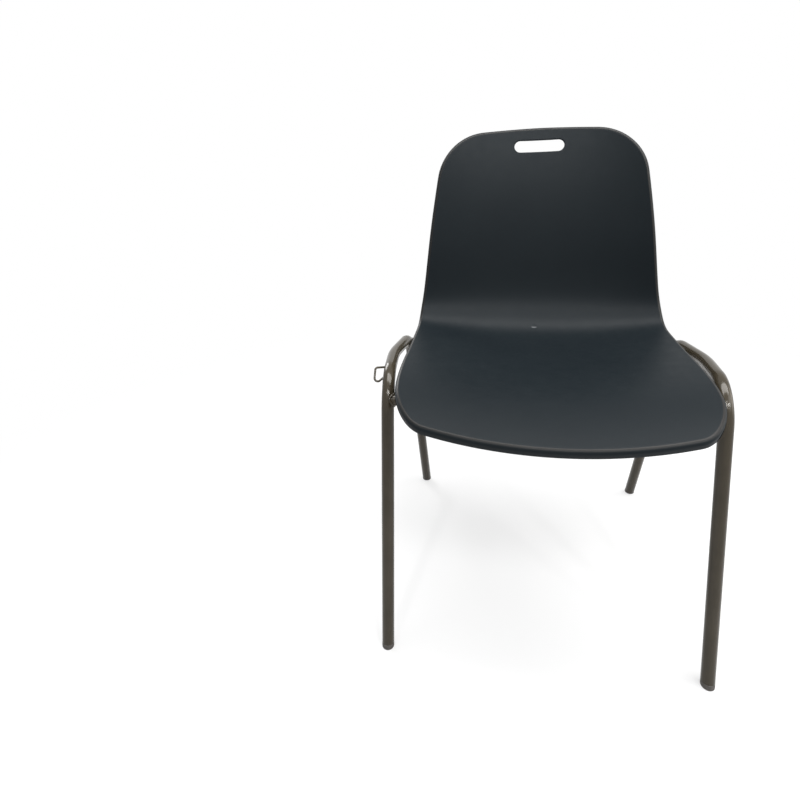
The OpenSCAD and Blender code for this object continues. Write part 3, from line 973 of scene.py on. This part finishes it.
def saddle(at, along, sink=0):
    """Ring in which a cross tube meets the side tube, seen from the middle of the chair."""
    turns = np.linspace(0, 2 * math.pi, TUBE_SIDES, endpoint=False)
    y, z = cross_r * np.cos(turns), cross_r * np.sin(turns)
    along = unit(along)
    # The gap across is solved from the distance to the side tube's centre line
    a = 1 - along[0] ** 2
    half_b = -along[0] * (along[1] * y + along[2] * z)
    c = y**2 + z**2 - (along[1] * y + along[2] * z) ** 2 - tube_r**2
    x = (-half_b - np.sqrt(half_b**2 - a * c)) / a + sink
    return np.stack([at[0] + x, at[1] + y, at[2] + z], axis=-1)


def make_cross_tube(at, bend, name, node):
    """Cross tube between the side tubes, with a weld bead round each end."""
    along = np.cross(bend[2], at - bend[0])
    end = saddle(at, along, WELD_SINK)
    left, right = on_side(end, -1), on_side(end, 1)
    piece = Piece()
    piece.loft([left + (right - left) * t for t in np.linspace(0, 1, CROSS_STEPS + 1)])
    for side in (-1, 1):
        add_bead(piece, on_side(saddle(at, along), side))
    piece.make(name, paint, node)


def make_foot(side, toe, end, direction, name, node):
    """Plastic foot with a rounded lower edge, cut level with the floor."""
    ring = unit(ring_at(end, direction, tube_r, TUBE_SIDES) - end)
    bore = tube_r - TUBE_WALL
    drop = 1 / abs(direction[2])

    def at_height(r, z):
        base = end + ring * r
        return base + direction * ((base[:, 2] - z) * drop)[:, None]

    rings = [
        end + ring * bore - direction * BORE_DEPTH,
        end + ring * bore,
        end + ring * (tube_r - FOOT_TOP_ROUND),
        end + ring * tube_r + direction * FOOT_TOP_ROUND,
    ]
    for b in np.linspace(0, math.pi / 2, FOOT_STEPS + 1):
        level = at_height(tube_r, FOOT_ROUND * (1 - math.sin(b)))
        inward = unit((toe - level) * [1, 1, 0])
        rings.append(level + inward * FOOT_ROUND * (1 - math.cos(b)))
    piece = Piece()
    piece.loft([on_side(r, side) for r in rings])
    piece.make(name, foot_black, node)


def make_link_loop():
    """Bent wire loop on the outside of the left side tube."""
    low_end = bend_point(front_bend, FRONT_BEND_R, LINK_LOW_SHARE)
    high_end = bend_point(front_bend, FRONT_BEND_R, LINK_HIGH_SHARE)
    outer_x = low_end[0] + tube_r + LINK_OUT - LINK_D / 2
    low_corner = np.array([outer_x, low_end[1] - LINK_REACH, low_end[2] - LINK_DIP])
    high_corner = low_corner + [0, LINK_LEAN, LINK_RISE]
    corners = [
        low_end + unit(low_corner - low_end) * (tube_r - WELD_SINK),
        low_corner,
        high_corner,
        high_end + unit(high_corner - high_end) * (tube_r - WELD_SINK),
    ]
    path = bent_path(corners, [LINK_BEND_R, LINK_BEND_R])
    piece = Piece()
    piece.loft([on_side(ring, -1) for ring in swept_rings(path, LINK_D / 2, WIRE_SIDES)])
    for end, toward in ((corners[0], corners[1]), (corners[-1], corners[-2])):
        along = unit(toward - end)
        ring = ring_at(end + along * WELD_SINK, along, LINK_D / 2, WIRE_SIDES)
        add_bead(piece, on_side(ring, -1), LINK_WELD_R)
    piece.make("link_wire", paint, "link_loop")


def dress(node, material):
    """Gives a CAD piece whose shape is right a better finish."""
    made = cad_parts[node]
    made.data.materials.clear()
    made.data.materials.append(material)


def dress_nodes():
    for side in ("left", "right"):
        for place in ("front", "rear"):
            dress(f"{place}_{side}_plate", paint)
    dress("shell_screws", zinc)
    dress("screw_washers", zinc)
    dress("threaded_inserts", brass)


# Stage

def make_camera():
    data = bpy.data.cameras.new("camera")
    data.sensor_width = SENSOR
    data.lens = FOCAL_PX / IMAGE_PX * SENSOR
    data.shift_y = (CENTRE_Y_PX - IMAGE_PX / 2) / IMAGE_PX
    data.clip_start = CLIP_START
    data.clip_end = CLIP_END
    made = add_object("camera", data)
    made.location = [v * MM for v in CAMERA_AT]
    made.rotation_euler = [math.radians(a) for a in (CAMERA_TILT, CAMERA_ROLL, CAMERA_TURN)]
    bpy.context.scene.camera = made


def make_world():
    """Background that the camera and the reflections see as white, and that lights plainly."""
    world = bpy.data.worlds.new("studio")
    world.use_nodes = True
    bpy.context.scene.world = world
    graph = Graph(world.node_tree)
    plain = graph.nodes["Background"]
    graph.feed(plain, {"Color": WORLD_COLOUR, "Strength": WORLD_STRENGTH})
    white = graph.node("ShaderNodeBackground", {"Color": WHITE, "Strength": 1})
    graph.show("World Output", graph.seen_rays(),
               plain.outputs["Background"], white.outputs["Background"])


def floor_finish():
    """Pale matt floor that keeps the chair's shadow and fades to plain white further out."""
    made, graph = new_material("floor")
    graph.shade({
        "Base Color": FLOOR_COLOUR,
        "Roughness": FLOOR_ROUGHNESS,
        "Specular IOR Level": 0,
    })
    matt = graph.nodes["Principled BSDF"]
    glow = graph.node("ShaderNodeEmission", {"Color": WHITE})
    fade = graph.node("ShaderNodeMapRange", {
        "Value": graph.length(graph.place()),
        "From Min": FLOOR_NEAR,
        "From Max": FLOOR_FAR,
        "To Min": FLOOR_GLOW,
        "To Max": 1,
    }, interpolation_type="SMOOTHSTEP")
    share = graph.maths("MULTIPLY", fade.outputs["Result"], graph.seen_rays())
    graph.show("Material Output", share, matt.outputs["BSDF"], glow.outputs["Emission"])
    return made


def make_floor():
    corners = [(-1, -1), (1, -1), (1, 1), (-1, 1)]
    mesh = bpy.data.meshes.new("floor")
    points = [(x * FLOOR_HALF_W, y * FLOOR_HALF_W, 0) for x, y in corners]
    mesh.from_pydata(points, [], [(0, 1, 2, 3)])
    mesh.materials.append(floor_finish())
    add_object("floor", mesh)


def area_light(name, at, size, watts, toward=CHAIR_MIDDLE, colour=(1, 1, 1)):
    """Rectangular light, with its place, its aim and its two sizes in metres."""
    data = bpy.data.lights.new(name, "AREA")
    data.shape = "RECTANGLE"
    data.size, data.size_y = size
    data.energy = watts
    data.color = colour
    made = add_object(name, data)
    made.location = at
    aim = Vector(toward) - Vector(at)
    made.rotation_euler = aim.to_track_quat("-Z", "Y").to_euler()


def make_lights():
    """A broad light overhead, narrow lamps in front, two on the right, and one behind."""
    area_light("overhead", at=(0.45, 0, 2.6), size=(1, 3.2), watts=100, toward=(0.35, 0, 0.4))
    for k in range(LAMP_COUNT):
        at = (LAMP_FIRST_X + k * LAMP_STEP, LAMP_Y, LAMP_Z)
        area_light(f"lamp_{k + 1}", at=at, size=(0.09, 0.5), watts=11)
    area_light("right_high", at=(2.2, -0.8, 2.2), size=(1.5, 1.5), watts=20)
    area_light("right", at=(2.8, 0.2, 1.2), size=(1.5, 1.5), watts=20, colour=(1, 0.93, 0.85))
    area_light("back_left", at=(-2, 2.2, 1.8), size=(1.2, 1.2), watts=35)


bpy.context.scene.view_settings.view_transform = "Standard"
make_camera()
make_world()
make_floor()
make_lights()
make_shell()
make_side_tube(-1, "left_tube", "left_side_tube")
make_side_tube(1, "right_tube", "right_side_tube")
make_cross_tube(front_cross, front_bend, "front_crossbar", "front_cross_tube")
make_cross_tube(rear_cross, rear_bend, "rear_crossbar", "rear_cross_tube")
for side, side_name in ((-1, "left"), (1, "right")):
    make_foot(side, front_toe, front_end, front_leg_dir,
              f"front_{side_name}_tip", f"front_{side_name}_foot")
    make_foot(side, rear_toe, rear_end, rear_leg_dir,
              f"rear_{side_name}_tip", f"rear_{side_name}_foot")
make_link_loop()
dress_nodes()
